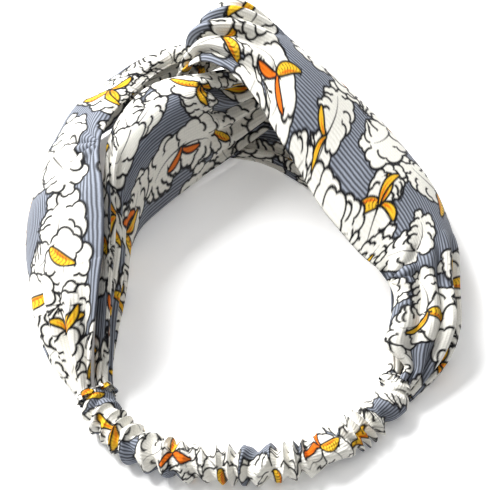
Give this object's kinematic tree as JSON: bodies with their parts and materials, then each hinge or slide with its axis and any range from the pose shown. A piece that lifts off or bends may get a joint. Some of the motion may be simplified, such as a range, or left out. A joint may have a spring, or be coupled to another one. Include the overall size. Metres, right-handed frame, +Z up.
{
  "type": "knotted headband",
  "caption": "Ring-shaped cloth headband lying flat: two wide strips folded round each other in a knot, joined at the back by a gathered elastic casing.",
  "frame": {"origin": "on the table, under the middle of the headband's outline", "axes": "+Z up, +Y from the elastic towards the knot, +X to the right seen from the elastic side"},
  "size_m": [0.1836, 0.2078, 0.071],
  "materials": {
    "printed_cloth": "ribbed, printed",
    "elastic_weave": "woven",
    "thread": "twisted"
  },
  "bodies": {
    "front": {"left_strip": "printed_cloth", "right_strip": "printed_cloth", "left_strip_seam": "thread", "right_strip_seam": "thread", "left_join_stitching": "thread", "right_join_stitching": "thread"},
    "back": {"elastic_casing": "printed_cloth", "elastic_band": "elastic_weave", "casing_seam": "thread"}
  },
  "joints": [
    {"name": "elastic_stretch", "type": "slide", "parent": "front", "child": "back", "axis": [0, -1, 0], "range_m": [0, 0.055], "stiffness_N_per_m": 60, "deforming": ["elastic_casing", "elastic_band", "casing_seam"]}
  ]
}
